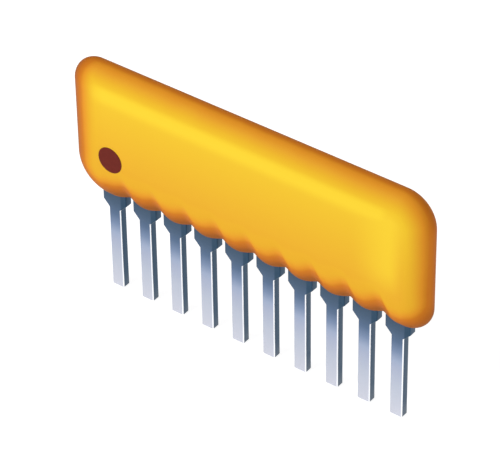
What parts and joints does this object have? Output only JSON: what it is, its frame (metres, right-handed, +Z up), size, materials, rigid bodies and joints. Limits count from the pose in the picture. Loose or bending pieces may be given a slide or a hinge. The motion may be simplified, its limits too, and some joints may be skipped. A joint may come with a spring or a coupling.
{
  "type": "resistor network",
  "caption": "Single in-line resistor network: round-edged dipped epoxy body over a thick-film plate, a dot beside lead one, and a row of flat shouldered leads for a circuit board.",
  "frame": {"origin": "middle of the lead row on the board's face, where the tapers meet the shanks", "axes": "+X along the lead row from lead one to lead ten, -Y out of the marked front face, +Z up out of the board"},
  "size_m": [0.0281, 0.0025, 0.0179],
  "materials": {
    "epoxy": "glossy dipped epoxy, golden yellow",
    "ink": "printed ink, dark red-brown",
    "lead": "bright tin plate over copper alloy",
    "alumina": "fired alumina, white",
    "film_conductor": "fired silver-palladium film",
    "film_resistor": "fired resistor film, near black",
    "overglaze": "fired glass film, green",
    "solder": "reflowed solder, satin"
  },
  "bodies": {
    "root": {"epoxy_coating": "epoxy", "pin_one_dot": "ink", "ceramic_substrate": "alumina", "bus_conductor": "film_conductor", "glass_overglaze": "overglaze", "terminal_1": "lead", "terminal_2": "lead", "terminal_3": "lead", "terminal_4": "lead", "terminal_5": "lead", "terminal_6": "lead", "terminal_7": "lead", "terminal_8": "lead", "terminal_9": "lead", "terminal_10": "lead", "solder_joint_1": "solder", "solder_joint_2": "solder", "solder_joint_3": "solder", "solder_joint_4": "solder", "solder_joint_5": "solder", "solder_joint_6": "solder", "solder_joint_7": "solder", "solder_joint_8": "solder", "solder_joint_9": "solder", "solder_joint_10": "solder", "terminal_pad_2": "film_conductor", "terminal_pad_3": "film_conductor", "terminal_pad_4": "film_conductor", "terminal_pad_5": "film_conductor", "terminal_pad_6": "film_conductor", "terminal_pad_7": "film_conductor", "terminal_pad_8": "film_conductor", "terminal_pad_9": "film_conductor", "terminal_pad_10": "film_conductor", "resistor_element_1": "film_resistor", "resistor_element_2": "film_resistor", "resistor_element_3": "film_resistor", "resistor_element_4": "film_resistor", "resistor_element_5": "film_resistor", "resistor_element_6": "film_resistor", "resistor_element_7": "film_resistor", "resistor_element_8": "film_resistor", "resistor_element_9": "film_resistor"}
  },
  "joints": []
}
